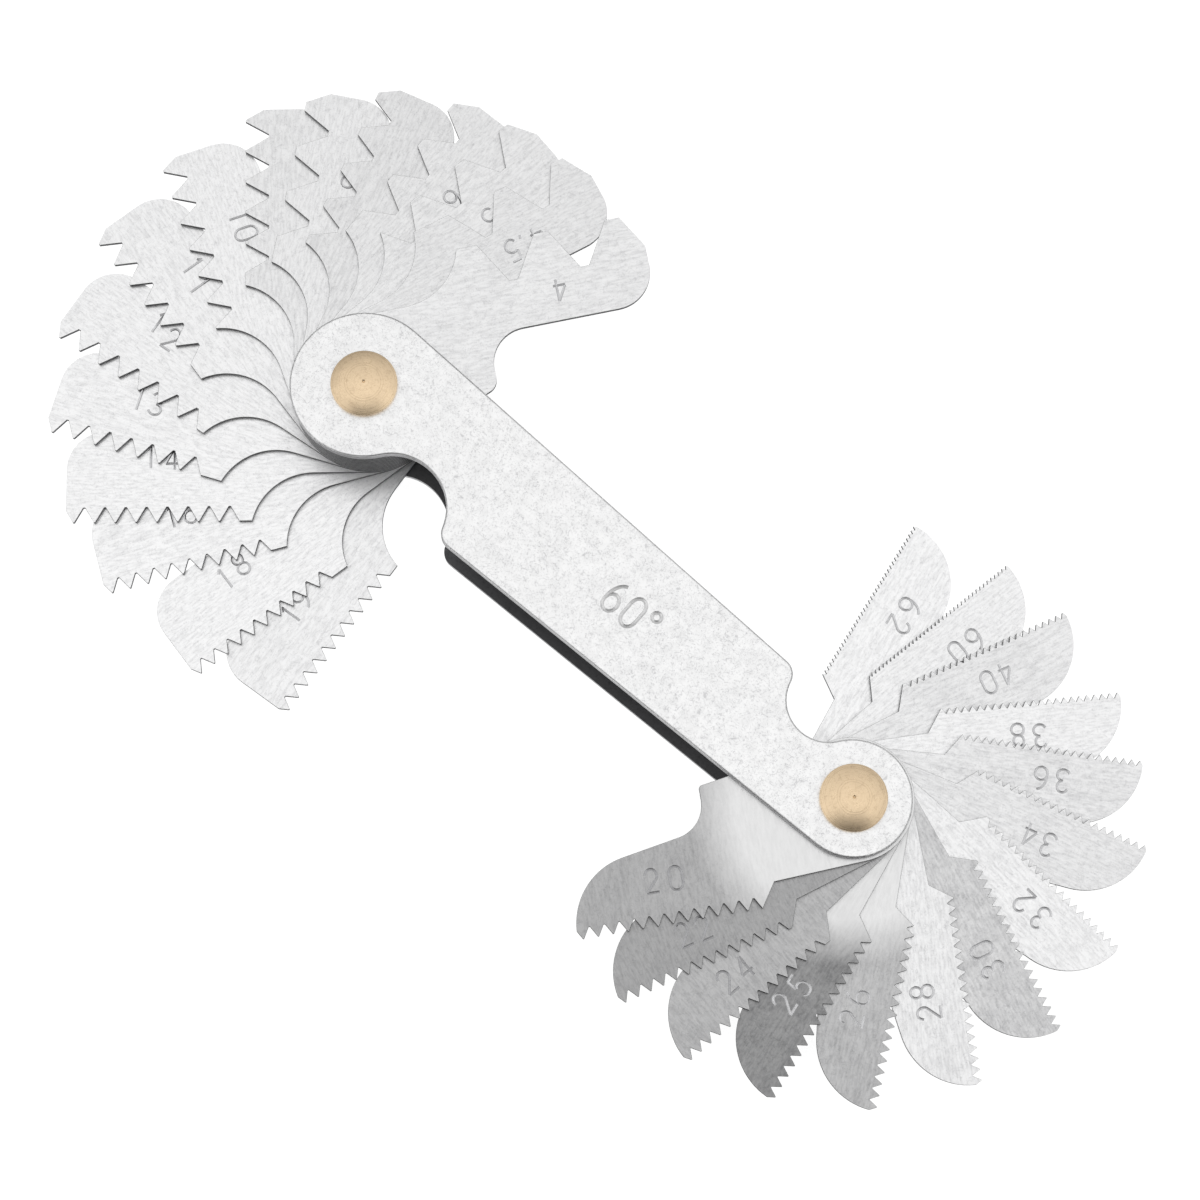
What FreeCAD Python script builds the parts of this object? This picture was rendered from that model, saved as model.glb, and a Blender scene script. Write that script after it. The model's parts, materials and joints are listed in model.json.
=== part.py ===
# Thread pitch gauge: two flat S-shaped side plates held together by two rivets.
# A fan of toothed blades turns on each rivet.  Every blade is cut to one pitch of
# a 60 degree thread, and all blades fold into the space between the plates.
#
# Frame: millimetres.  X runs from the coarse rivet (-X) to the fine rivet (+X),
# Z points out of the front plate.  The origin is midway between the rivets, on the
# outer face of the back plate.
import FreeCAD, Part
import math
import os

MM_PER_INCH = 25.4

# --- case -------------------------------------------------------------------
RIVET_SPACING = 54.9        # between the two rivet axes
PLATE_THICKNESS = 0.8
CASE_GAP = 7.0              # clear height between the two plates
COARSE_LOBE_R = 6.45        # rounded end of the plates round the coarse rivet
FINE_LOBE_R = 5.05          # rounded end of the plates round the fine rivet
COARSE_NOTCH_R = 4.7        # thumb notch beside the coarse rivet
COARSE_NOTCH_FLOOR = 1.95   # from the centre line to the bottom of that notch
FINE_NOTCH_R = 3.5
FINE_NOTCH_FLOOR = 1.5
NOTCH_CORNER_R = 1.5        # rounds the corner from notch to straight edge
PLATE_EDGE_R = 0.22         # tumbled outer edge of each plate

# --- rivets -----------------------------------------------------------------
SHANK_R = 1.6
HEAD_R = 2.88
HEAD_RIM = 0.4              # straight side of the head
HEAD_DOME = 0.6             # crown above that side
HEAD_SPOT_R = 0.14          # centre mark left by the turning tool
PEEN_R = 2.1                # end spread into the back plate's countersink
PEEN_DEPTH = 0.5

# --- blades -----------------------------------------------------------------
BLADE_THICKNESS = 0.42
BORE_CLEARANCE = 0.05       # radial play of a blade on its rivet

# A blade is drawn with its teeth along +U at a fixed distance from the pivot.
COARSE_HUB_R = 6.35
COARSE_TOOTH_V = 10.6       # from the pivot to the line of the tooth tips
COARSE_TIP_U = 26.4         # from the pivot to the outer end, along the teeth
COARSE_NECK_R = 5.5         # hollow between the hub and the first tooth
COARSE_NECK_U = 4.8         # where that hollow leaves the hub's tangent
COARSE_END_R = 3.4          # outer corner at the back of the blade
COARSE_BACK_V = 2.45        # straight back of the blade
COARSE_HEEL_U = 11.3        # finger heel: its face square to the teeth
COARSE_HEEL_V = -2.3        # finger heel: its corner
COARSE_HEEL_CORNER_R = 1.2  # finger heel: rounds its corner
COARSE_HEEL_R = 3.15        # hollow between the heel and the back
COARSE_FOLD = 20.5          # teeth slope this much when the blade is folded

FINE_HUB_R = 5.3
FINE_TOOTH_V = 7.72
FINE_TIP_U = 24.8
FINE_START_U = 9.1          # first tooth
FINE_NECK_U = 7.75          # corner below the first tooth
FINE_NECK_V = 5.7
FINE_END_R = 5.8            # one large round from the tip to the back
FINE_END_SIDE = 0.45        # straight stretch between the tip and that round
FINE_HEEL_U = 12.6
FINE_HEEL_V = -3.3
FINE_HEEL_CORNER_R = 0.3
FINE_HEEL_R = 2.9
FINE_FOLD = 9.9

# --- teeth ------------------------------------------------------------------
FLANK_ANGLE = 60.0
OVERCUT = 0.5               # the cutter reaches this far past the crests
LAST_TOOTH = 0.37           # outermost crest, in pitches from the blade's end
BROAD_PITCH = 3.3           # from this pitch up the crests are wide and flat
BROAD_CREST, BROAD_ROOT = 0.20, 0.12      # flats, as shares of the pitch
SHARP_CREST, SHARP_ROOT = 0.07, 0.09

# Each blade: name, threads per inch, degrees it stands open from its folded place.
# Both fans are listed from the front plate to the back plate.
COARSE_FAN = [("blade_4_tpi", 4, 73.0), ("blade_4_half_tpi", 4.5, 89.1),
              ("blade_5_tpi", 5, 101.6), ("blade_6_tpi", 6, 112.8),
              ("blade_7_tpi", 7, 127.1), ("blade_6_tpi_second", 6, 140.5),
              ("blade_9_tpi", 9, 152.4), ("blade_10_tpi", 10, 170.4),
              ("blade_11_tpi", 11, 188.5), ("blade_12_tpi", 12, 207.3),
              ("blade_13_tpi", 13, 224.9), ("blade_14_tpi", 14, 242.1),
              ("blade_16_tpi", 16, 256.7), ("blade_18_tpi", 18, 278.4),
              ("blade_19_tpi", 19, 295.4)]
FINE_FAN = [("blade_20_tpi", 20, 60.4), ("blade_22_tpi", 22, 74.6),
            ("blade_24_tpi", 24, 90.9), ("blade_25_tpi", 25, 108.0),
            ("blade_26_tpi", 26, 127.2), ("blade_28_tpi", 28, 147.8),
            ("blade_30_tpi", 30, 166.3), ("blade_32_tpi", 32, 185.4),
            ("blade_34_tpi", 34, 205.5), ("blade_36_tpi", 36, 222.0),
            ("blade_38_tpi", 38, 236.0), ("blade_40_tpi", 40, 254.8),
            ("blade_60_tpi", 60, 269.2), ("blade_62_tpi", 62, 288.7)]

CASE_HEIGHT = 2 * PLATE_THICKNESS + CASE_GAP
COARSE_PIVOT = FreeCAD.Vector(-RIVET_SPACING / 2, 0, 0)
FINE_PIVOT = FreeCAD.Vector(RIVET_SPACING / 2, 0, 0)
UP = FreeCAD.Vector(0, 0, 1)
ORIGIN = FreeCAD.Vector(0, 0, 0)


# --- flat drawing helpers ---------------------------------------------------
def point(u, v):
    return FreeCAD.Vector(u, v, 0)


def polar(centre, radius, degrees):
    angle = math.radians(degrees)
    return centre + point(radius * math.cos(angle), radius * math.sin(angle))


def direction(vector):
    return math.degrees(math.atan2(vector.y, vector.x))


def arc(centre, radius, start, end):
    """Arc from one angle to the other; it runs clockwise where end < start."""
    ends = [polar(centre, radius, a) for a in (start, (start + end) / 2, end)]
    return Part.Arc(*ends).toShape()


def line(start, end):
    return Part.LineSegment(start, end).toShape()


def solid_from(edges, height):
    face = Part.Face(Part.Wire(edges))
    if face.normalAt(0, 0).z < 0:
        face.reverse()
    return face.extrude(UP * height)


def round_upright(solid, corner, radius):
    """Round the upright edge that stands on the given flat point."""
    near = [e for e in solid.Edges
            if all(abs(v.X - corner.x) + abs(v.Y - corner.y) < 1e-4
                   for v in e.Vertexes)]
    return solid.makeFillet(radius, near)


# --- side plates ------------------------------------------------------------
def plate_end(lobe_r, other_r, notch_r, notch_floor):
    """Edges round one end of a plate, with the lobe's centre at the origin, the
    plate running to +X and the thumb notch on the -Y side.  They start where the
    plain side meets the lobe and end on the notched side's straight edge."""
    lean = math.degrees(math.asin((lobe_r - other_r) / RIVET_SPACING))
    notch_reach = lobe_r + notch_r
    notch_drop = notch_floor + notch_r
    notch = point(math.sqrt(notch_reach ** 2 - notch_drop ** 2), -notch_drop)
    outward = polar(ORIGIN, 1, lean - 90)
    along = polar(ORIGIN, 1, lean)
    inset = lobe_r - NOTCH_CORNER_R
    side_step = inset - notch.dot(outward)
    reach = notch_r + NOTCH_CORNER_R
    corner = outward * inset + along * (
        notch.dot(along) + math.sqrt(reach ** 2 - side_step ** 2))
    to_notch = direction(notch) + 360
    to_corner = direction(corner - notch)
    return [arc(ORIGIN, lobe_r, 90 - lean, to_notch),
            arc(notch, notch_r, to_notch - 180, to_corner),
            arc(corner, NOTCH_CORNER_R, to_corner + 180, 270 + lean)]


def plate_outline():
    coarse = plate_end(COARSE_LOBE_R, FINE_LOBE_R, COARSE_NOTCH_R,
                       COARSE_NOTCH_FLOOR)
    fine = plate_end(FINE_LOBE_R, COARSE_LOBE_R, FINE_NOTCH_R, FINE_NOTCH_FLOOR)
    for edge in coarse:
        edge.translate(COARSE_PIVOT)
    for edge in fine:
        edge.rotate(ORIGIN, UP, 180)
        edge.translate(FINE_PIVOT)
    lower = line(coarse[-1].Vertexes[-1].Point, fine[0].Vertexes[0].Point)
    upper = line(fine[-1].Vertexes[-1].Point, coarse[0].Vertexes[0].Point)
    return coarse + [lower] + fine + [upper]


def side_plate():
    """A plate lying on the floor plane, with its outer face on top."""
    plate = solid_from(plate_outline(), PLATE_THICKNESS)
    rim = [e for e in plate.Edges
           if all(abs(v.Z - PLATE_THICKNESS) < 1e-6 for v in e.Vertexes)]
    plate = plate.makeFillet(PLATE_EDGE_R, rim)
    for pivot in (COARSE_PIVOT, FINE_PIVOT):
        plate = plate.cut(Part.makeCylinder(SHANK_R, PLATE_THICKNESS, pivot))
    return plate


def front_plate():
    plate = side_plate()
    plate.translate(UP * (CASE_HEIGHT - PLATE_THICKNESS))
    return plate


def back_plate():
    plate = side_plate()
    plate = plate.mirror(ORIGIN, UP)
    plate.translate(UP * PLATE_THICKNESS)
    for pivot in (COARSE_PIVOT, FINE_PIVOT):
        sink = Part.makeCone(PEEN_R, SHANK_R, PEEN_DEPTH, pivot)
        plate = plate.cut(sink)
    return plate


# --- rivets -----------------------------------------------------------------
def rivet(pivot):
    """Revolved: peened end, shank, and a low domed head with a centre mark."""
    rim_z = CASE_HEIGHT + HEAD_RIM
    top_z = rim_z + HEAD_DOME
    dome_r = (HEAD_R ** 2 + HEAD_DOME ** 2) / (2 * HEAD_DOME)
    centre_z = top_z - dome_r
    mid_x = HEAD_R / 2
    spot_z = centre_z + math.sqrt(dome_r ** 2 - HEAD_SPOT_R ** 2)

    def at(x, z):
        return FreeCAD.Vector(x, 0, z)

    dome = Part.Arc(at(HEAD_R, rim_z),
                    at(mid_x, centre_z + math.sqrt(dome_r ** 2 - mid_x ** 2)),
                    at(HEAD_SPOT_R, spot_z)).toShape()
    corners = [at(HEAD_SPOT_R, spot_z), at(0, spot_z - HEAD_SPOT_R), at(0, 0),
               at(PEEN_R, 0), at(SHANK_R, PEEN_DEPTH), at(SHANK_R, CASE_HEIGHT),
               at(HEAD_R, CASE_HEIGHT), at(HEAD_R, rim_z)]
    sides = [line(a, b) for a, b in zip(corners, corners[1:])]
    profile = Part.Face(Part.Wire(sides + [dome]))
    turned = profile.revolve(ORIGIN, UP, 360)
    turned.translate(pivot)
    return turned


# --- blades -----------------------------------------------------------------
def hub_edges(heel, hub_r, neck):
    """From the heel's corner along the hub's tangent, round the hub, and out
    along its other tangent to the neck point."""
    heel_turn = math.degrees(math.acos(hub_r / heel.Length))
    neck_turn = math.degrees(math.acos(min(1, hub_r / neck.Length)))
    start = direction(heel) - heel_turn
    end = direction(neck) + neck_turn - 360
    edges = [line(heel, polar(ORIGIN, hub_r, start)),
             arc(ORIGIN, hub_r, start, end),
             line(polar(ORIGIN, hub_r, end), neck)]
    return edges


def heel_edges(back_point, slope, heel_u, heel_v, heel_r):
    """From a point on the straight back, along it and down the hollow to the
    heel's corner.  The back rises by slope degrees towards the blade's end."""
    centre_u = heel_u + heel_r
    back_v = back_point.y - (back_point.x - centre_u) * math.tan(math.radians(slope))
    centre = point(centre_u, back_v - heel_r / math.cos(math.radians(slope)))
    top = polar(centre, heel_r, 90 + slope)
    foot = polar(centre, heel_r, 180)
    heel = point(heel_u, heel_v)
    return [line(back_point, top), arc(centre, heel_r, 90 + slope, 180),
            line(foot, heel)]


def coarse_blank():
    """Blank of the coarse fan: a hollow neck and a square end with a round back
    corner."""
    neck = point(COARSE_NECK_U, COARSE_HUB_R)
    neck_centre = neck + point(0, COARSE_NECK_R)
    rise = COARSE_TOOTH_V - neck_centre.y
    neck_end = math.degrees(math.asin(rise / COARSE_NECK_R))
    end_centre = point(COARSE_TIP_U - COARSE_END_R, COARSE_BACK_V + COARSE_END_R)
    tip = point(COARSE_TIP_U, COARSE_TOOTH_V)
    heel = point(COARSE_HEEL_U, COARSE_HEEL_V)
    edges = hub_edges(heel, COARSE_HUB_R, neck)
    edges += [arc(neck_centre, COARSE_NECK_R, -90, neck_end),
              line(polar(neck_centre, COARSE_NECK_R, neck_end), tip),
              line(tip, polar(end_centre, COARSE_END_R, 0)),
              arc(end_centre, COARSE_END_R, 0, -90)]
    edges += heel_edges(polar(end_centre, COARSE_END_R, -90), 0, COARSE_HEEL_U,
                        COARSE_HEEL_V, COARSE_HEEL_R)
    return solid_from(edges, BLADE_THICKNESS)


def fine_blank():
    """Blank of the fine fan: an angled neck and one large round at the end."""
    neck = point(FINE_NECK_U, FINE_NECK_V)
    start = point(FINE_START_U, FINE_TOOTH_V)
    tip = point(FINE_TIP_U, FINE_TOOTH_V)
    heel = point(FINE_HEEL_U, FINE_HEEL_V)
    end_centre = tip - point(FINE_END_R, FINE_END_SIDE)
    edges = hub_edges(heel, FINE_HUB_R, neck)
    edges += [line(neck, start), line(start, tip),
              line(tip, polar(end_centre, FINE_END_R, 0)),
              arc(end_centre, FINE_END_R, 0, FINE_FOLD - 90)]
    edges += heel_edges(polar(end_centre, FINE_END_R, FINE_FOLD - 90), FINE_FOLD,
                        FINE_HEEL_U, FINE_HEEL_V, FINE_HEEL_R)
    return solid_from(edges, BLADE_THICKNESS)


def tooth_gap(root_u, tooth_v, pitch):
    """The space between two crests, open past the line of the tooth tips."""
    broad = pitch > BROAD_PITCH
    crest = (BROAD_CREST if broad else SHARP_CREST) * pitch
    root = (BROAD_ROOT if broad else SHARP_ROOT) * pitch
    slope = math.tan(math.radians(FLANK_ANGLE))
    half = (pitch - crest) / 2
    depth = (half - root / 2) * slope
    wide = half + OVERCUT / slope
    corners = [point(root_u - root / 2, tooth_v - depth),
               point(root_u + root / 2, tooth_v - depth),
               point(root_u + wide, tooth_v + OVERCUT),
               point(root_u - wide, tooth_v + OVERCUT)]
    sides = zip(corners, corners[1:] + corners[:1])
    return solid_from([line(a, b) for a, b in sides], BLADE_THICKNESS)


def toothed(blank, threads_per_inch, tooth_v, tip_u, start_u):
    """Cut the gaps from beyond the outermost crest inwards to the neck."""
    pitch = MM_PER_INCH / threads_per_inch
    first = tip_u + (0.5 - LAST_TOOTH) * pitch
    count = int((first - start_u) / pitch) + 1
    gaps = [tooth_gap(first - i * pitch, tooth_v, pitch) for i in range(count)]
    return blank.cut(Part.makeCompound(gaps))


def finished_blade(blank, fold_angle, level_z, pivot):
    """Bore the blade, turn it to its place in the fan and lift it to its level."""
    bore = Part.makeCylinder(SHANK_R + BORE_CLEARANCE, BLADE_THICKNESS)
    blade = blank.cut(bore)
    blade.rotate(ORIGIN, UP, fold_angle)
    blade.translate(pivot + UP * level_z)
    return blade


def level_heights(count):
    """Lower face of each blade, front plate first, with equal gaps between."""
    gap = (CASE_GAP - count * BLADE_THICKNESS) / (count + 1)
    step = gap + BLADE_THICKNESS
    top = CASE_HEIGHT - PLATE_THICKNESS
    return [top - (i + 1) * step for i in range(count)]


def coarse_blades():
    blank = round_upright(coarse_blank(), point(COARSE_HEEL_U, COARSE_HEEL_V),
                          COARSE_HEEL_CORNER_R)
    parts = {}
    heights = level_heights(len(COARSE_FAN))
    for (name, tpi, opened), level_z in zip(COARSE_FAN, heights):
        cut = toothed(blank, tpi, COARSE_TOOTH_V, COARSE_TIP_U, COARSE_HEEL_U)
        parts[name] = finished_blade(cut, opened - COARSE_FOLD, level_z,
                                     COARSE_PIVOT)
    return parts


def fine_blades():
    blank = round_upright(fine_blank(), point(FINE_HEEL_U, FINE_HEEL_V),
                          FINE_HEEL_CORNER_R)
    parts = {}
    heights = level_heights(len(FINE_FAN))
    for (name, tpi, opened), level_z in zip(FINE_FAN, heights):
        cut = toothed(blank, tpi, FINE_TOOTH_V, FINE_TIP_U, FINE_START_U)
        parts[name] = finished_blade(cut, opened + 180 - FINE_FOLD, level_z,
                                     FINE_PIVOT)
    return parts


# --- assembly ---------------------------------------------------------------
def gauge_parts():
    parts = {"front_plate": front_plate(), "back_plate": back_plate(),
             "coarse_rivet": rivet(COARSE_PIVOT), "fine_rivet": rivet(FINE_PIVOT)}
    parts.update(coarse_blades())
    parts.update(fine_blades())
    return parts


os.makedirs("parts", exist_ok=True)
for node, shape in gauge_parts().items():
    shape.exportStep("parts/" + node + ".step")
    print(node, "solids", len(shape.Solids), "valid", shape.isValid(),
          "volume mm3", round(shape.Volume, 2))
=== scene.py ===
import json
import math
import bmesh
import bpy
from mathutils import Matrix, Vector


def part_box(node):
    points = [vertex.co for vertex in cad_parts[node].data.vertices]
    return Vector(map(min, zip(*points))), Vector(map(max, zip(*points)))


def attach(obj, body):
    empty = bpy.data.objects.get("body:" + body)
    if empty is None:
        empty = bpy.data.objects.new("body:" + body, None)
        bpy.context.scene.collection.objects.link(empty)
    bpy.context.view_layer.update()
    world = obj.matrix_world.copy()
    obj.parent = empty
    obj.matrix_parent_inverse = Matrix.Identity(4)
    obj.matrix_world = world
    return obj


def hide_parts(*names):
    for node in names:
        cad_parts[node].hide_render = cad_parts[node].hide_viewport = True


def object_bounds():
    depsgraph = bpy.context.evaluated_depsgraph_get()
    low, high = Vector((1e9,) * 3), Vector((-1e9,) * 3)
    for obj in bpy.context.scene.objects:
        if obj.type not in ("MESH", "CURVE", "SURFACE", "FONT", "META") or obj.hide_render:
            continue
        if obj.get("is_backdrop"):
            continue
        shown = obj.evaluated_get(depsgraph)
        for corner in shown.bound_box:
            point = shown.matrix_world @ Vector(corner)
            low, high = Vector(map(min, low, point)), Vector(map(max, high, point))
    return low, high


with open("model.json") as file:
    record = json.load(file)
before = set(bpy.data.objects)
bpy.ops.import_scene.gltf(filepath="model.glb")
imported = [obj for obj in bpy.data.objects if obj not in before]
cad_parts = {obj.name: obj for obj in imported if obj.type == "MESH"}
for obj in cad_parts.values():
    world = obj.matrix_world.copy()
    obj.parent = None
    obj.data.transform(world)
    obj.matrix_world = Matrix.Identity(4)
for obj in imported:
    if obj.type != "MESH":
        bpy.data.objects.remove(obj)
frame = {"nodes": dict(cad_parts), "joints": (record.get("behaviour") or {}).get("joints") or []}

cad_low, cad_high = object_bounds()

# ---------------------------------------------------------------------------
# Side plates: two flat steel plates of one outline, the outer cover of the gauge.
# Each is stamped from sheet and tumbled in a drum, which rounds its outer rim and leaves a
# pale satin face full of short fine scratches.  The front one is stamped with its thread angle.
MM = 0.001
SHARP_ANGLE = math.radians(30)
MERGE_DISTANCE = 0.002 * MM         # corners of triangles nearer than this are one
SAME_POINT = 0.001 * MM             # a path whose ends are nearer than this is a loop
FLAT_ANGLE = math.radians(0.2)      # faces that turn less than this are one flat face
RIM_ANGLE = math.radians(60)        # a rim is at least this sharp
LEVEL, LYING, STANDING = 0.999, 0.9, 0.35   # how upright the normal of such a face is
PLATE_STAMP = [("6", 1.08, -0.05), ("0", 3.12, -0.05)]      # glyph, place along and across, mm
PLATE_GLYPH = (1.34, 2.8)
DEGREE_RING = (4.9, 0.95, 0.42)                             # place and radius, mm
PLATE_STROKE = (0.2, 0.36)                                  # cutter radius and groove width, mm


def merged_copy(node, piece, finish, rim_bevel=0.0):
    """A piece of its own from a CAD node: its triangles joined, its flat faces in one, its
    sharp rims broken by a small bevel, and the materials of its finish in slots.  The node's
    stored normals go, as they would no longer fit the joined faces."""
    mesh = frame["nodes"][node].data.copy()
    mesh.name = piece
    for stale in ("custom_normal", "sharp_edge", "sharp_face"):
        if stale in mesh.attributes:
            mesh.attributes.remove(mesh.attributes[stale])
    mesh.materials.clear()
    for material in finish:
        mesh.materials.append(material)
    shell = bmesh.new()
    shell.from_mesh(mesh)
    bmesh.ops.remove_doubles(shell, verts=shell.verts, dist=MERGE_DISTANCE)
    bmesh.ops.dissolve_limit(shell, angle_limit=FLAT_ANGLE, verts=shell.verts,
                             edges=shell.edges)
    if rim_bevel:
        rims = [e for e in shell.edges if len(e.link_faces) == 2
                and e.calc_face_angle(0) > RIM_ANGLE
                and max(abs(f.normal.z) for f in e.link_faces) > LYING]
        bmesh.ops.bevel(shell, geom=rims, offset=rim_bevel, segments=1, profile=0.5,
                        affect="EDGES", material=-1, clamp_overlap=True)
    bmesh.ops.triangulate(shell, faces=[f for f in shell.faces if len(f.verts) > 4])
    shell.to_mesh(mesh)
    shell.free()
    made = bpy.data.objects.new(piece, mesh)
    bpy.context.scene.collection.objects.link(made)
    return made


def bow(cx, cy, rx, ry, start, end, steps=12):
    """Points along part of an ellipse, angles in degrees."""
    turns = [math.radians(start + (end - start) * i / steps) for i in range(steps + 1)]
    return [(cx + rx * math.cos(t), cy + ry * math.sin(t)) for t in turns]


# One-line figures as a punch draws them, in a box one wide and one high.  A path is split
# wherever it turns a sharp corner, and a path that ends where it starts is a closed loop.
GLYPHS = {
    "0": [bow(.5, .7, .5, .3, 0, 180) + bow(.5, .3, .5, .3, 180, 360) + [(1, .7)]],
    "1": [[(.5, 0), (.5, 1)], [(.5, 1), (.22, .82)]],
    "2": [bow(.5, .71, .46, .29, 172, -30) + [(.03, .02)], [(0, 0), (.98, 0)]],
    "3": [bow(.48, .75, .42, .25, 160, -90), bow(.48, .25, .5, .25, 90, -160)],
    "4": [[(.72, 0), (.72, 1)], [(.72, 1), (.02, .3)], [(0, .28), (1, .28)]],
    "5": [[(.94, 1), (.2, 1)], [(.2, 1), (.12, .56)], bow(.47, .31, .5, .31, 130, -150)],
    "6": [bow(.5, .29, .5, .29, 0, 360), bow(.8, .29, .8, .7, 172, 95)],
    "7": [[(0, 1), (.96, 1)], [(.98, .98), (.35, 0)]],
    "8": [bow(.5, .75, .42, .25, 0, 360), bow(.5, .26, .5, .26, 0, 360)],
    "9": [bow(.5, .71, .5, .29, 0, 360), bow(.2, .71, .8, .7, -8, -85)],
    ".": [[(.45, .02), (.55, .2)]],
}


GROOVE = 2                                                  # material slot of a groove


def engrave(piece, paths, top, cutter_radius, groove_width):
    """Cuts round-bottomed grooves along the paths into the piece's upper face, at height top."""
    lift = math.sqrt(cutter_radius ** 2 - (groove_width / 2) ** 2)
    wire = bpy.data.curves.new("groove", "CURVE")
    wire.dimensions = "3D"
    wire.bevel_depth = cutter_radius
    wire.bevel_resolution = 2
    wire.use_fill_caps = True
    for path in paths:
        closed = math.dist(path[0], path[-1]) < SAME_POINT
        path = path[:-1] if closed else path
        run = wire.splines.new("POLY")
        run.use_cyclic_u = closed
        run.points.add(len(path) - 1)
        for spot, (x, y) in zip(run.points, path):
            spot.co = (x, y, top + lift, 1)
    cutter = bpy.data.objects.new("groove", wire)
    bpy.context.scene.collection.objects.link(cutter)
    dg = bpy.context.evaluated_depsgraph_get()
    solid = bpy.data.objects.new("groove_solid",
                                 bpy.data.meshes.new_from_object(cutter.evaluated_get(dg)))
    bpy.context.scene.collection.objects.link(solid)
    solid.data.polygons.foreach_set("material_index", [GROOVE] * len(solid.data.polygons))
    cut = piece.modifiers.new("engrave", "BOOLEAN")
    cut.object = solid
    cut.operation = "DIFFERENCE"
    cut.solver = "EXACT"
    cut.use_self = True
    dg = bpy.context.evaluated_depsgraph_get()
    engraved = bpy.data.meshes.new_from_object(piece.evaluated_get(dg))
    piece.modifiers.clear()
    engraved.name = piece.name
    piece.data = engraved
    for spent in (cutter, solid):
        bpy.data.objects.remove(spent)


def finish_shading(piece, rounded_rim=False):
    """Smooth curved faces and sharp corners; beside a rounded rim the flats stay flat."""
    for face in piece.data.polygons:
        face.use_smooth = rounded_rim or abs(face.normal.z) < LEVEL
    piece.data.set_sharp_from_angle(angle=SHARP_ANGLE)
    if rounded_rim:
        flats = piece.modifiers.new("flat faces", "WEIGHTED_NORMAL")
        flats.keep_sharp = True


def node(tree, kind, feeds=None, **settings):
    """A node with its settings; feeds gives its inputs a value or another node's output."""
    made = tree.nodes.new("ShaderNode" + kind)
    for name, value in settings.items():
        setattr(made, name, value)
    for name, value in (feeds or {}).items():
        socket = made.inputs[name]
        if isinstance(value, bpy.types.NodeSocket):
            tree.links.new(value, socket)
        else:
            socket.default_value = value
    return made


def math_node(tree, operation, *values, clamp=False):
    return node(tree, "Math", dict(enumerate(values)), operation=operation,
                use_clamp=clamp).outputs[0]


def remap(tree, value, low, high, to_low=0.0, to_high=1.0):
    """Value from low..high to to_low..to_high, held at both ends."""
    return node(tree, "MapRange", {"Value": value, "From Min": low, "From Max": high,
                                   "To Min": to_low, "To Max": to_high}).outputs[0]


def new_group(name, inputs, outputs):
    """An empty shader node group; inputs and outputs map a name to its kind of socket."""
    group = bpy.data.node_groups.new(name, "ShaderNodeTree")
    for label, kind in inputs.items():
        group.interface.new_socket(label, in_out="INPUT", socket_type="NodeSocket" + kind)
    for label, kind in outputs.items():
        group.interface.new_socket(label, in_out="OUTPUT", socket_type="NodeSocket" + kind)
    return group, group.nodes.new("NodeGroupInput"), group.nodes.new("NodeGroupOutput")


# Short curved scratches and dots from the drum, all over and in no one direction.
SCRATCH_LAYERS = ((1.0, 0.022), (1.7, 0.03), (2.7, 0.045))  # fineness and line width of each
tumble_marks, given, put = new_group("tumble_marks", {"Vector": "Vector", "Scale": "Float"},
                                     {"Scratches": "Float", "Cloud": "Float"})
layers = []
for factor, width in SCRATCH_LAYERS:
    lines = node(tumble_marks, "TexNoise", {
        "Vector": given.outputs["Vector"], "Detail": 1.0, "Distortion": 0.8,
        "Scale": math_node(tumble_marks, "MULTIPLY", given.outputs["Scale"], factor)})
    ridge = math_node(tumble_marks, "ABSOLUTE",
                      math_node(tumble_marks, "SUBTRACT", lines.outputs["Fac"], 0.5))
    where = node(tumble_marks, "TexNoise", {
        "Vector": given.outputs["Vector"], "Detail": 2.0,
        "Scale": math_node(tumble_marks, "MULTIPLY", given.outputs["Scale"], factor * 0.9 + 0.3)})
    layers.append(math_node(tumble_marks, "MULTIPLY", remap(tumble_marks, ridge, width, 0.0),
                            remap(tumble_marks, where.outputs["Fac"], 0.45, 0.57)))
both = math_node(tumble_marks, "ADD", math_node(tumble_marks, "ADD", layers[0], layers[1]),
                 layers[2], clamp=True)
cloud = node(tumble_marks, "TexNoise", {
    "Vector": given.outputs["Vector"], "Detail": 5.0, "Roughness": 0.65,
    "Scale": math_node(tumble_marks, "MULTIPLY", given.outputs["Scale"], 0.6)})
tumble_marks.links.new(both, put.inputs["Scratches"])
tumble_marks.links.new(cloud.outputs["Fac"], put.inputs["Cloud"])

# Painted highlight where two faces meet, found by comparing the face's own normal with a softened
# one.
edge_highlight, given, put = new_group("edge_highlight", {"Radius": "Float"}, {"Mask": "Float"})
soft = node(edge_highlight, "Bevel", {"Radius": given.outputs["Radius"]}, samples=6)
hard = node(edge_highlight, "NewGeometry")
turn = node(edge_highlight, "VectorMath", {0: soft.outputs["Normal"], 1: hard.outputs["Normal"]},
            operation="DOT_PRODUCT")
edge_highlight.links.new(remap(edge_highlight, turn.outputs["Value"], 0.995, 0.9), put.inputs["Mask"])


STEEL_HIGHLIGHT_REACH = 0.18 * MM              # reach of the painted highlight along an edge


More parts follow.
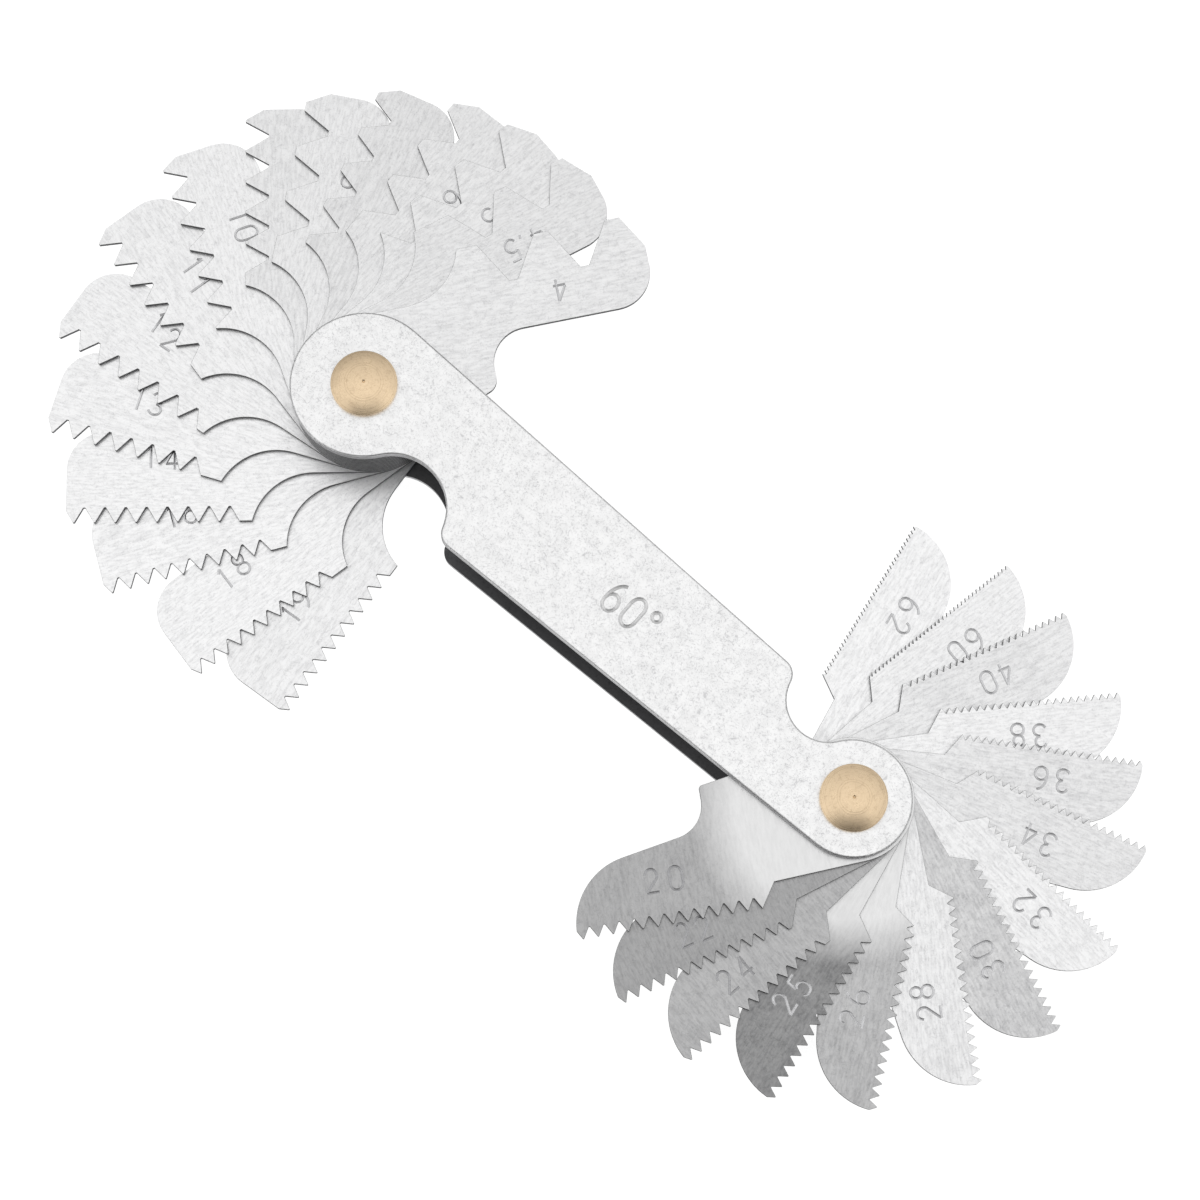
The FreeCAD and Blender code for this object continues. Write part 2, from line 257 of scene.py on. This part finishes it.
def steel_material(name, light, dark, roughness, scratch_scale, scratch_depth):
    """Pale tumbled steel: light in the open, dark in the scratches and clouds, with a painted
    highlight along its edges.
    """
    material = bpy.data.materials.new(name)
    material.use_nodes = True
    tree = material.node_tree
    shader = tree.nodes["Principled BSDF"]
    place = node(tree, "TexCoord").outputs["Object"]
    marks = node(tree, "Group", node_tree=tumble_marks)
    tree.links.new(place, marks.inputs["Vector"])
    marks.inputs["Scale"].default_value = scratch_scale
    highlight = node(tree, "Group", node_tree=edge_highlight)
    highlight.inputs["Radius"].default_value = STEEL_HIGHLIGHT_REACH
    shade = math_node(tree, "ADD", math_node(tree, "MULTIPLY", marks.outputs["Scratches"], 0.7),
                      remap(tree, marks.outputs["Cloud"], 0.4, 0.7, 0.0, 0.12), clamp=True)
    body = node(tree, "Mix", {0: shade, 6: light, 7: dark}, data_type="RGBA")
    # Painted highlight: the colour is made lighter along the edges, standing in for the thin glint
    # of light there.
    highlight_colour = tuple(min(1.0, c * 1.06) for c in light[:3]) + (1,)
    highlighted = node(tree, "Mix", {0: highlight.outputs["Mask"], 6: body.outputs[2], 7: highlight_colour},
                data_type="RGBA")
    tree.links.new(highlighted.outputs[2], shader.inputs["Base Color"])
    tree.links.new(remap(tree, marks.outputs["Cloud"], 0.35, 0.65, roughness, roughness + 0.08),
                   shader.inputs["Roughness"])
    shader.inputs["Metallic"].default_value = 1.0
    bump = node(tree, "Bump", {"Strength": scratch_depth, "Distance": 0.01 * MM,
                               "Height": math_node(tree, "SUBTRACT", 1.0, shade)})
    tree.links.new(bump.outputs["Normal"], shader.inputs["Normal"])
    return material


def assign_faces(piece, inner_side=0):
    """Gives cut side faces slot 1 and the face towards the leaves slot 3, inner_side being
    the way that face looks (1 up, -1 down).  Grooves keep their own slot."""
    for face in piece.data.polygons:
        if face.material_index != GROOVE:
            face.material_index = 1 if abs(face.normal.z) < STANDING else 0
            if face.normal.z * inner_side > LYING:
                face.material_index = 3


# Colours of each part of a plate: open steel first, then its scratches.
CASE_LIGHT, CASE_DARK = (0.98, 0.98, 0.98, 1), (0.6, 0.6, 0.61, 1)
CUT_LIGHT, CUT_DARK = (0.62, 0.62, 0.63, 1), (0.4, 0.4, 0.41, 1)
STAMP_LIGHT, STAMP_DARK = (0.8, 0.8, 0.8, 1), (0.5, 0.5, 0.51, 1)
# Painted shade: the faces inside the case, towards the leaves, are coloured near black for the
# shade in the slot between the plates.
INNER_SHADE_LIGHT, INNER_SHADE_DARK = (0.16, 0.16, 0.165, 1), (0.1, 0.1, 0.105, 1)
CASE_MARKS = 1500.0                 # fineness of the drum's scratches, per metre
CASE_BUMP, INNER_BUMP = 0.35, 0.2
case_face = steel_material("tumbled_steel", CASE_LIGHT, CASE_DARK, 0.34, CASE_MARKS, CASE_BUMP)
case_cut = steel_material("tumbled_cut_edge", CUT_LIGHT, CUT_DARK, 0.4, CASE_MARKS, CASE_BUMP)
case_groove = steel_material("tumbled_stamp", STAMP_LIGHT, STAMP_DARK, 0.3, CASE_MARKS,
                             CASE_BUMP)
case_inner_shade = steel_material("inner_steel_painted_shade", INNER_SHADE_LIGHT, INNER_SHADE_DARK, 0.5, CASE_MARKS,
                            INNER_BUMP)
case_finish = (case_face, case_cut, case_groove, case_inner_shade)

case_front = merged_copy("front_plate", "case_front", case_finish)
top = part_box("front_plate")[1].z
stamp = []
for glyph, x, y in PLATE_STAMP:
    for stroke in GLYPHS[glyph]:
        stamp.append([((x + (a - 0.5) * PLATE_GLYPH[0]) * MM, (y + (b - 0.5) * PLATE_GLYPH[1]) * MM)
                      for a, b in stroke])
ring_x, ring_y, ring_r = DEGREE_RING
stamp.append([(a * MM, b * MM) for a, b in bow(ring_x, ring_y, ring_r, ring_r, 0, 360)])
engrave(case_front, stamp, top, PLATE_STROKE[0] * MM, PLATE_STROKE[1] * MM)
assign_faces(case_front, inner_side=-1)
finish_shading(case_front, rounded_rim=True)
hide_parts("front_plate")
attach(case_front, "case")

case_back = merged_copy("back_plate", "case_back", case_finish)
assign_faces(case_back, inner_side=1)
finish_shading(case_back, rounded_rim=True)
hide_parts("back_plate")
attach(case_back, "case")

# ---------------------------------------------------------------------------
# Rivets: turned brass pins through both plates and all the leaves of a fan.
# The low domed head keeps the rings of the turning tool; the other end is spread into the
# back plate's countersink and lies flush.
BRASS_LIGHT, BRASS_DARK = (0.86, 0.67, 0.45, 1), (0.46, 0.33, 0.2, 1)
BRASS_MARKS = 1400.0                # fineness of the scratches, per metre
RING_FINENESS = 9000.0              # of the turned rings


def brass_material(name, centre, swirl):
    """Turned brass: rings round the rivet's axis, dulled and darkened where handled."""
    material = bpy.data.materials.new(name)
    material.use_nodes = True
    tree = material.node_tree
    shader = tree.nodes["Principled BSDF"]
    place = node(tree, "TexCoord").outputs["Object"]
    local = node(tree, "Mapping", {"Vector": place, "Location": -centre})
    flat = node(tree, "VectorMath", {0: local.outputs[0], 1: (1, 1, 0)}, operation="MULTIPLY")
    radius = node(tree, "VectorMath", {0: flat.outputs[0]}, operation="LENGTH").outputs["Value"]
    wobble = node(tree, "TexNoise", {"Vector": local.outputs[0], "Scale": 420.0})
    ring_at = math_node(tree, "ADD", radius, math_node(
        tree, "MULTIPLY", wobble.outputs["Fac"], swirl * MM))
    rings = node(tree, "TexNoise", {"W": math_node(tree, "MULTIPLY", ring_at, RING_FINENESS),
                                    "Scale": 1.0, "Detail": 3.0}, noise_dimensions="1D")
    marks = node(tree, "Group", node_tree=tumble_marks)
    tree.links.new(place, marks.inputs["Vector"])
    marks.inputs["Scale"].default_value = BRASS_MARKS
    shade = math_node(tree, "ADD", remap(tree, rings.outputs["Fac"], 0.5, 0.75, 0.0, 0.3),
                      math_node(tree, "MULTIPLY", marks.outputs["Scratches"], 0.35), clamp=True)
    body = node(tree, "Mix", {0: shade, 6: BRASS_LIGHT, 7: BRASS_DARK}, data_type="RGBA")
    tree.links.new(body.outputs[2], shader.inputs["Base Color"])
    tree.links.new(remap(tree, marks.outputs["Cloud"], 0.35, 0.65, 0.24, 0.34),
                   shader.inputs["Roughness"])
    shader.inputs["Metallic"].default_value = 1.0
    bump = node(tree, "Bump", {"Strength": 0.5, "Distance": 0.012 * MM,
                               "Height": rings.outputs["Fac"]})
    tree.links.new(bump.outputs["Normal"], shader.inputs["Normal"])
    return material


pivots = {}
for rivet, swirl in (("coarse_rivet", 0.1), ("fine_rivet", 0.5)):
    low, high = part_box(rivet)
    pivots[rivet] = Vector(((low.x + high.x) / 2, (low.y + high.y) / 2, 0))
    pin = merged_copy(rivet, rivet + "_turned",
                      [brass_material(rivet + "_brass", pivots[rivet], swirl)])
    finish_shading(pin, rounded_rim=True)
    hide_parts(rivet)
    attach(pin, "case")

# ---------------------------------------------------------------------------
# Coarse fan: fifteen leaves of hardened sheet steel, each with one thread pitch milled into
# its long edge and stamped with its threads per inch.  All turn on the coarse rivet.
RIM = 0.03 * MM
FIGURE_SIZE = (1.1, 2.0)            # width and height of a stamped figure, mm
FIGURE_STROKE = (0.15, 0.25)        # cutter radius and groove width, mm
LEAF_MARKS, CUT_MARKS = 1300.0, 2200.0      # fineness of scratches on faces and cut edges
# reach of the painted highlight along a leaf's edges
LEAF_HIGHLIGHT_REACH = 0.12 * MM
COARSE_FOLD = 20.5                  # degrees from the case's length to the folded tooth line

# Leaf, what is stamped on it, place of each figure out along the leaf and across it (mm),
# its tone, and how far it is tarnished.
COARSE_LEAVES = [
    ("4", "4", [(18.3, 5.15)], 0.90, 0.1),
    ("4_half", "4.5", [(19.6, 5.1), (18.2, 5.1), (17.1, 5.1)], 0.86, 0.1),
    ("5", "5", [(18.3, 4.85)], 0.88, 0.1),
    ("6", "6", [(18.3, 4.95)], 0.87, 0.1),
    ("7", "7", [(18.3, 5.4)], 0.84, 0.1),
    ("6_second", "6", [(18.65, 5.05)], 0.90, 0.1),
    ("9", "9", [(18.6, 5.5)], 0.88, 0.1),
    ("10", "10", [(19.25, 5.45), (17.6, 5.4)], 0.95, 0.05),
    ("11", "11", [(18.95, 5.15), (17.1, 5.7)], 0.95, 0.05),
    ("12", "12", [(19.2, 4.65), (17.4, 5.2)], 0.96, 0.05),
    ("13", "13", [(19.25, 5.6), (17.7, 5.6)], 0.97, 0.05),
    ("14", "14", [(19.05, 4.8), (17.2, 4.95)], 0.98, 0.05),
    ("16", "16", [(19.2, 5.4), (17.6, 5.4)], 0.98, 0.05),
    ("18", "18", [(19.3, 5.1), (17.5, 4.85)], 0.98, 0.05),
    ("19", "19", [(19.1, 5.65), (17.5, 5.55)], 0.94, 0.1),
]

# Three fine leaves are ground across and stamped lightly; three keep a polished neck.
CROSS_GROUND = ("20", "22", "24")
POLISHED_NECK = ("20", "25", "26")
NECK_STEEL, NECK_POLISH = (0.9, 0.9, 0.9, 1), 0.8
NECK_INNER, NECK_OUTER = 10 * MM, 14 * MM   # the polish fades out between these, from the pivot

# Fine parallel lines left by the grinding belt along a leaf.
belt_grain, given, put = new_group("belt_grain", {"Vector": "Vector"}, {"Grain": "Float"})
GRAIN = (1100.0, 5200.0, 1100.0)    # fineness along the lines, across them and in depth
stretched = node(belt_grain, "VectorMath", {0: given.outputs["Vector"], 1: GRAIN},
                 operation="MULTIPLY")
lines = node(belt_grain, "TexNoise", {"Vector": stretched.outputs[0], "Scale": 1.0,
                                      "Detail": 3.0, "Roughness": 0.6})
belt_grain.links.new(lines.outputs["Fac"], put.inputs["Grain"])

# Cloudy stains where the oil film on the steel has aged.
tarnish, given, put = new_group("tarnish", {"Vector": "Vector", "Amount": "Float"},
                                {"Stain": "Float"})
patches = node(tarnish, "TexNoise", {"Vector": given.outputs["Vector"], "Scale": 260.0,
                                     "Detail": 6.0, "Roughness": 0.7, "Distortion": 0.4})
specks = node(tarnish, "TexNoise", {"Vector": given.outputs["Vector"], "Scale": 2600.0,
                                    "Detail": 3.0, "Roughness": 0.7})
mixed = math_node(tarnish, "ADD", remap(tarnish, patches.outputs["Fac"], 0.42, 0.62, 0.0, 0.6),
                  remap(tarnish, specks.outputs["Fac"], 0.45, 0.65, 0.0, 0.4))
tarnish.links.new(math_node(tarnish, "MULTIPLY", mixed, given.outputs["Amount"]),
                  put.inputs["Stain"])


def leaf_material(name, tone, stain, angle, centre, seed, polish):
    """Ground steel of one leaf, with its belt lines along it, its own tone and stains, and a
    painted highlight along its edges.
    """
    material = bpy.data.materials.new(name)
    material.use_nodes = True
    tree = material.node_tree
    shader = tree.nodes["Principled BSDF"]
    place = node(tree, "TexCoord").outputs["Object"]
    along = node(tree, "Mapping", {"Vector": place, "Location": centre + Vector((0, 0, seed)),
                                   "Rotation": (0, 0, angle)}, vector_type="TEXTURE")
    grain = node(tree, "Group", {}, node_tree=belt_grain)
    tree.links.new(along.outputs[0], grain.inputs["Vector"])
    flat = node(tree, "VectorMath", {0: along.outputs[0], 1: (1, 1, 0)}, operation="MULTIPLY")
    out = node(tree, "VectorMath", {0: flat.outputs[0]}, operation="LENGTH").outputs["Value"]
    neck = remap(tree, out, NECK_OUTER, NECK_INNER, 0.0, polish)
    stains = node(tree, "Group", node_tree=tarnish)
    tree.links.new(along.outputs[0], stains.inputs["Vector"])
    stains.inputs["Amount"].default_value = stain
    marks = node(tree, "Group", node_tree=tumble_marks)
    tree.links.new(along.outputs[0], marks.inputs["Vector"])
    marks.inputs["Scale"].default_value = LEAF_MARKS
    highlight = node(tree, "Group", node_tree=edge_highlight)
    highlight.inputs["Radius"].default_value = LEAF_HIGHLIGHT_REACH
    streaks = remap(tree, grain.outputs["Grain"], 0.42, 0.68, 0.0, 0.32)
    shade = math_node(tree, "ADD", streaks,
                      math_node(tree, "MULTIPLY", marks.outputs["Scratches"], 0.35))
    shade = math_node(tree, "ADD", shade, stains.outputs["Stain"], clamp=True)
    light = (tone, tone, tone * 1.003, 1)
    dark = (tone * 0.6, tone * 0.6, tone * 0.61, 1)
    body = node(tree, "Mix", {0: shade, 6: light, 7: dark}, data_type="RGBA")
    rubbed = node(tree, "Mix", {0: neck, 6: body.outputs[2], 7: NECK_STEEL}, data_type="RGBA")
    # Painted highlight: the colour is made lighter along the edges, standing in for the thin glint
    # of light there.
    highlight_colour = (min(1, tone * 1.15),) * 3 + (1,)
    highlighted = node(tree, "Mix", {0: math_node(tree, "MULTIPLY", highlight.outputs["Mask"], 0.7),
                              6: rubbed.outputs[2], 7: highlight_colour}, data_type="RGBA")
    tree.links.new(highlighted.outputs[2], shader.inputs["Base Color"])
    tree.links.new(remap(tree, grain.outputs["Grain"], 0.3, 0.7, 0.3, 0.4),
                   shader.inputs["Roughness"])
    shader.inputs["Metallic"].default_value = 1.0
    bump = node(tree, "Bump", {"Strength": 0.3, "Distance": 0.008 * MM,
                               "Height": grain.outputs["Grain"]})
    tree.links.new(bump.outputs["Normal"], shader.inputs["Normal"])
    return material


# Painted shade: the cut side walls of the leaves are coloured near black for the shadow in the thin
# gaps between leaves and the dark they reflect.
leaf_cut_shade = steel_material("cut_leaf_edge_painted_shade", (0.12, 0.12, 0.125, 1), (0.06, 0.06, 0.065, 1),
                          0.45, CUT_MARKS, 0.4)
leaf_groove = steel_material("stamped_figure", (0.72, 0.72, 0.73, 1), (0.45, 0.45, 0.46, 1),
                             0.3, CUT_MARKS, 0.3)
faint_groove = steel_material("faint_figure", (0.5, 0.5, 0.51, 1), (0.32, 0.32, 0.33, 1),
                              0.35, CUT_MARKS, 0.3)
opened = {joint["name"]: -joint["range_deg"][0] for joint in frame["joints"]}
SEED_STEP = 0.05                    # moves each leaf's grain so that no two leaves are alike


def dress_leaf(leaf, text, places, tone, stain, pivot, lean, seed):
    """One leaf: rims broken, figures cut into its upper face, ground-steel finish."""
    cad = "blade_6_tpi_second" if leaf == "6_second" else "blade_" + leaf + "_tpi"
    body = "blade_" + leaf
    angle = math.radians(opened[body + "_hinge"] + lean)
    across = leaf in CROSS_GROUND
    face = leaf_material("ground_steel_" + leaf, tone, stain,
                         angle + math.radians(90 if across else 0), pivot, seed,
                         NECK_POLISH if leaf in POLISHED_NECK else 0.0)
    finish = (face, leaf_cut_shade, faint_groove if across else leaf_groove)
    piece = merged_copy(cad, "leaf_" + leaf, finish, RIM)
    turn = Matrix.Translation(pivot) @ Matrix.Rotation(angle, 4, "Z")
    paths = []
    for glyph, (u, v) in zip(text, places):
        for stroke in GLYPHS[glyph]:
            paths.append([(turn @ Vector(((u - (a - 0.5) * FIGURE_SIZE[0]) * MM,
                                          (v - (b - 0.5) * FIGURE_SIZE[1]) * MM, 0)))[:2]
                          for a, b in stroke])
    engrave(piece, paths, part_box(cad)[1].z, FIGURE_STROKE[0] * MM, FIGURE_STROKE[1] * MM)
    assign_faces(piece)
    finish_shading(piece)
    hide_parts(cad)
    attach(piece, body)


for number, (leaf, text, places, tone, stain) in enumerate(COARSE_LEAVES):
    dress_leaf(leaf, text, places, tone, stain, pivots["coarse_rivet"], -COARSE_FOLD,
               SEED_STEP * number)

# ---------------------------------------------------------------------------
# Fine fan: fourteen smaller leaves of the same steel on the fine rivet, with the finest
# pitches.  Some are darker and more stained than others.
FINE_FOLD = 9.9
FINE_LEAVES = [
    ("20", "20", [(17.9, 3.9), (15.85, 4.0)], 0.48, 0.25),
    ("22", "22", [(17.7, 4.55), (15.95, 4.7)], 0.43, 0.25),
    ("24", "24", [(18.0, 4.7), (16.1, 4.75)], 0.53, 0.3),
    ("25", "25", [(17.45, 4.2), (15.5, 4.55)], 0.34, 0.9),
    ("26", "26", [(17.8, 4.05), (15.9, 4.2)], 0.57, 0.4),
    ("28", "28", [(18.4, 4.15), (16.6, 3.8)], 0.91, 0.2),
    ("30", "30", [(17.9, 4.7), (16.0, 4.6)], 0.74, 0.6),
    ("32", "32", [(18.3, 4.7), (16.3, 4.7)], 0.95, 0.15),
    ("34", "34", [(16.95, 4.2), (15.15, 4.3)], 0.87, 0.2),
    ("36", "36", [(18.1, 4.95), (16.2, 4.9)], 0.88, 0.3),
    ("38", "38", [(17.4, 4.55), (15.5, 4.8)], 0.96, 0.1),
    ("40", "40", [(17.7, 4.9), (16.0, 4.8)], 0.89, 0.2),
    ("60", "60", [(18.3, 4.35), (16.4, 4.4)], 0.95, 0.1),
    ("62", "62", [(18.3, 4.3), (16.4, 4.3)], 0.98, 0.1),
]
for number, (leaf, text, places, tone, stain) in enumerate(FINE_LEAVES):
    dress_leaf(leaf, text, places, tone, stain, pivots["fine_rivet"], 180 - FINE_FOLD,
               1 + SEED_STEP * number)

# ---------------------------------------------------------------------------
# Studio: a white table, a soft light tent overhead and the camera, 253 mm above the table
# and a little to one side.
TABLE_HALF, TABLE_DROP = 3.0, 0.0002        # metres
TABLE_WHITE, TABLE_GLOSS = 0.86, 0.6        # how bright it shows, and its share in reflections
table_mesh = bpy.data.meshes.new("table")
sheet = bmesh.new()
bmesh.ops.create_grid(sheet, x_segments=1, y_segments=1, size=TABLE_HALF)
bmesh.ops.translate(sheet, verts=sheet.verts, vec=(0, 0, cad_low.z - TABLE_DROP))
sheet.to_mesh(table_mesh)
sheet.free()
table = bpy.data.objects.new("table", table_mesh)
bpy.context.scene.collection.objects.link(table)
table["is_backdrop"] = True
table_paint = bpy.data.materials.new("table_white")
table_paint.use_nodes = True
tree = table_paint.node_tree
tree.nodes.clear()
ray = node(tree, "LightPath")
seen = math_node(tree, "MAXIMUM", ray.outputs["Is Camera Ray"], math_node(
    tree, "MAXIMUM", ray.outputs["Is Transmission Ray"],
    math_node(tree, "MULTIPLY", ray.outputs["Is Glossy Ray"], TABLE_GLOSS)))
matte = node(tree, "BsdfDiffuse", {"Color": (0.5, 0.5, 0.5, 1)})
white = node(tree, "Emission", {"Color": (1, 1, 1, 1), "Strength": TABLE_WHITE})
both = node(tree, "AddShader", {0: matte.outputs[0], 1: white.outputs[0]})
blend = node(tree, "MixShader", {0: seen, 1: matte.outputs[0], 2: both.outputs[0]})
output = node(tree, "OutputMaterial", {"Surface": blend.outputs[0]})
table_mesh.materials.append(table_paint)

TENT_LEVELS = ((0.35, 0.2), (0.6, 0.8), (0.72, 1.0))        # height in the sky and level
TENT_FULL, GAP_DEPTH, FAR_DEPTH = 1.06, 0.9, 0.2
world = bpy.data.worlds.new("light_tent")
bpy.context.scene.world = world
world.use_nodes = True
tree = world.node_tree
tree.nodes.clear()
aim = node(tree, "TexCoord").outputs["Generated"]
parts = node(tree, "SeparateXYZ", {"Vector": aim})
tent = node(tree, "ValToRGB", {"Fac": parts.outputs["Z"]})
ramp = tent.color_ramp
ramp.elements[0].position, ramp.elements[0].color = 0.0, (0.08, 0.08, 0.08, 1)
ramp.elements[1].position, ramp.elements[1].color = 0.9, (1, 1, 1, 1)
for at, level in TENT_LEVELS:
    ramp.elements.new(at).color = (level, level, level, 1)
# The tent is open towards the camera's foot: a dark wedge there, and dimmer opposite it.
flat_aim = node(tree, "VectorMath", {0: aim, 1: (1, 1, 0)}, operation="MULTIPLY")
unit_aim = node(tree, "VectorMath", {0: flat_aim.outputs[0]}, operation="NORMALIZE")
foot = math.radians(-50)
side = node(tree, "VectorMath", {0: unit_aim.outputs[0], 1: (math.cos(foot), math.sin(foot), 0)},
            operation="DOT_PRODUCT").outputs["Value"]
low_aim = remap(tree, parts.outputs["Z"], 0.97, 0.86)
gap = math_node(tree, "MULTIPLY", remap(tree, side, 0.5, 0.92), low_aim)
far = math_node(tree, "MULTIPLY", remap(tree, side, 0.0, -0.9), low_aim)
dim = math_node(tree, "SUBTRACT", math_node(tree, "SUBTRACT", TENT_FULL,
                                            math_node(tree, "MULTIPLY", gap, GAP_DEPTH)),
                math_node(tree, "MULTIPLY", far, FAR_DEPTH))
ray = node(tree, "LightPath")
sky = node(tree, "Background", {"Color": tent.outputs["Color"], "Strength": dim})
plain = node(tree, "Background", {"Color": (1, 1, 1, 1), "Strength": 1.0})
seen = math_node(tree, "MAXIMUM", ray.outputs["Is Camera Ray"],
                 ray.outputs["Is Transmission Ray"])
shown = node(tree, "MixShader", {0: seen, 1: sky.outputs[0], 2: plain.outputs[0]})
node(tree, "OutputWorld", {"Surface": shown.outputs[0]})

CAMERA_PLACE = Vector((27.755, -39.417, 252.73)) * MM
CAMERA_TURN = (10.896, -0.974, 40.678)      # degrees
LENS, SENSOR = 87.68, 36                    # mm
camera_data = bpy.data.cameras.new("camera")
camera_data.lens = LENS
camera_data.sensor_width = SENSOR
camera = bpy.data.objects.new("camera", camera_data)
camera.location = CAMERA_PLACE
camera.rotation_euler = [math.radians(a) for a in CAMERA_TURN]
bpy.context.scene.collection.objects.link(camera)
bpy.context.scene.camera = camera
bpy.context.scene.view_settings.view_transform = "Standard"

bpy.context.view_layer.update()
low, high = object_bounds()
